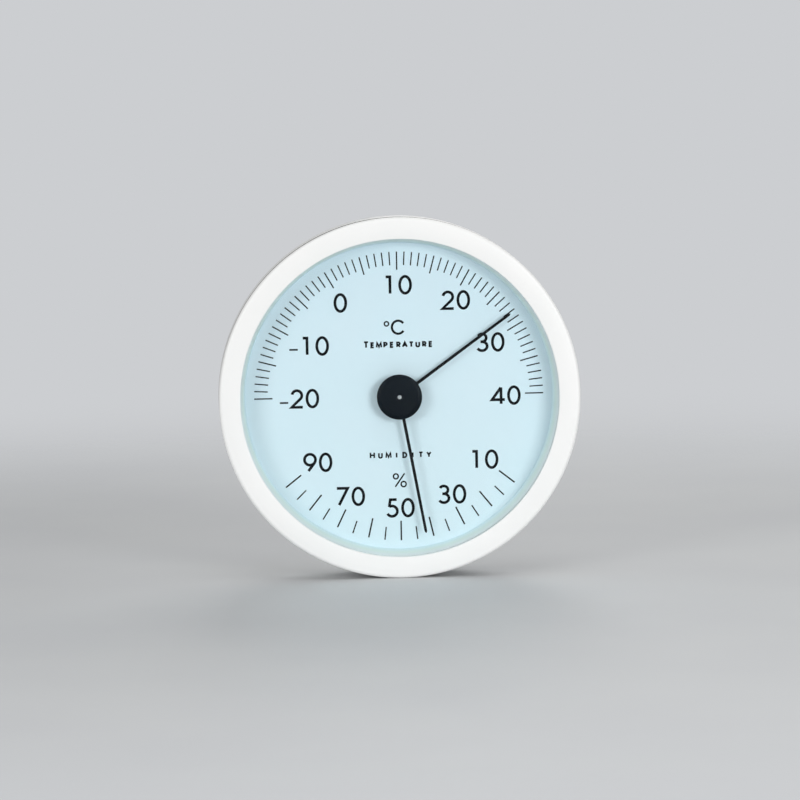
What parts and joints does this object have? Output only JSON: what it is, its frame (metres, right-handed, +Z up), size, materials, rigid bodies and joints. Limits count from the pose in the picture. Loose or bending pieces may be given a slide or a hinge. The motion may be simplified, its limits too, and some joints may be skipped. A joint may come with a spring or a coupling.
{
  "type": "dial thermo-hygrometer",
  "caption": "Round wall-hung dial thermometer and hygrometer with a white case and bezel, a flat window and coaxial hands turned by coiled strips, with a keyhole and adjuster behind.",
  "frame": {"origin": "on the hands' axis, halfway between the wall plane and the front of the bezel", "axes": "+Z up with ten degrees Celsius at the top, the dial faces -Y and the back rests on the wall towards +Y"},
  "size_m": [0.15, 0.0308, 0.15],
  "materials": {
    "white_shell": "smooth moulded white plastic, satin gloss",
    "spacer": "smooth pale moulded plastic",
    "dial": "matt pale blue-white enamel with black print",
    "window": "clear flat glass",
    "seal": "matt black sealing strip",
    "brass_parts": "turned and stamped brass",
    "steel_parts": "turned bright steel",
    "bimetal_strip": "rolled bimetal strip",
    "humidity_strip": "metal strip with a moisture-sensing film",
    "black_hands": "satin black paint",
    "black_cap": "satin blue-black plastic"
  },
  "bodies": {
    "root": {"rear_case": "white_shell", "bezel": "white_shell", "case_screw_1": "steel_parts", "case_screw_2": "steel_parts", "case_screw_3": "steel_parts", "glass_gasket": "seal", "dial_glass": "window", "spacer_ring": "spacer", "dial_plate": "dial", "front_plate": "brass_parts", "centre_bush": "brass_parts", "centre_nut": "brass_parts", "pillar_1": "brass_parts", "pillar_2": "brass_parts", "pillar_3": "brass_parts", "rear_plate": "brass_parts", "pillar_screw_1": "steel_parts", "pillar_screw_2": "steel_parts", "pillar_screw_3": "steel_parts", "temperature_anchor": "brass_parts", "temperature_coil": "bimetal_strip", "adjuster_washer": "steel_parts"},
    "temperature_pointer": {"temperature_arbor": "steel_parts", "temperature_collet": "brass_parts", "temperature_hand_collet": "brass_parts", "temperature_hand": "black_hands"},
    "adjuster": {"humidity_adjuster": "brass_parts", "adjuster_arm": "brass_parts", "humidity_anchor": "brass_parts", "humidity_coil": "humidity_strip"},
    "humidity_pointer": {"humidity_collet": "brass_parts", "humidity_arbor": "steel_parts", "humidity_hand_collet": "brass_parts", "humidity_hand": "black_hands", "centre_cap": "black_cap"}
  },
  "joints": [
    {"name": "temperature_hand_turn", "type": "hinge", "parent": "root", "child": "temperature_pointer", "pos_m": [0, 0, 0], "axis": [0, 1, 0], "range_deg": [-144.3, 35.7], "stiffness_Nm_per_rad": 0.002, "deforming": ["temperature_coil"]},
    {"name": "humidity_adjuster_turn", "type": "hinge", "parent": "root", "child": "adjuster", "pos_m": [0, 0, 0], "axis": [0, 1, 0], "range_deg": [-15, 15]},
    {"name": "humidity_hand_turn", "type": "hinge", "parent": "adjuster", "child": "humidity_pointer", "pos_m": [0, 0, 0], "axis": [0, 1, 0], "range_deg": [-41.9, 62.1], "stiffness_Nm_per_rad": 0.002, "deforming": ["humidity_coil"]}
  ]
}
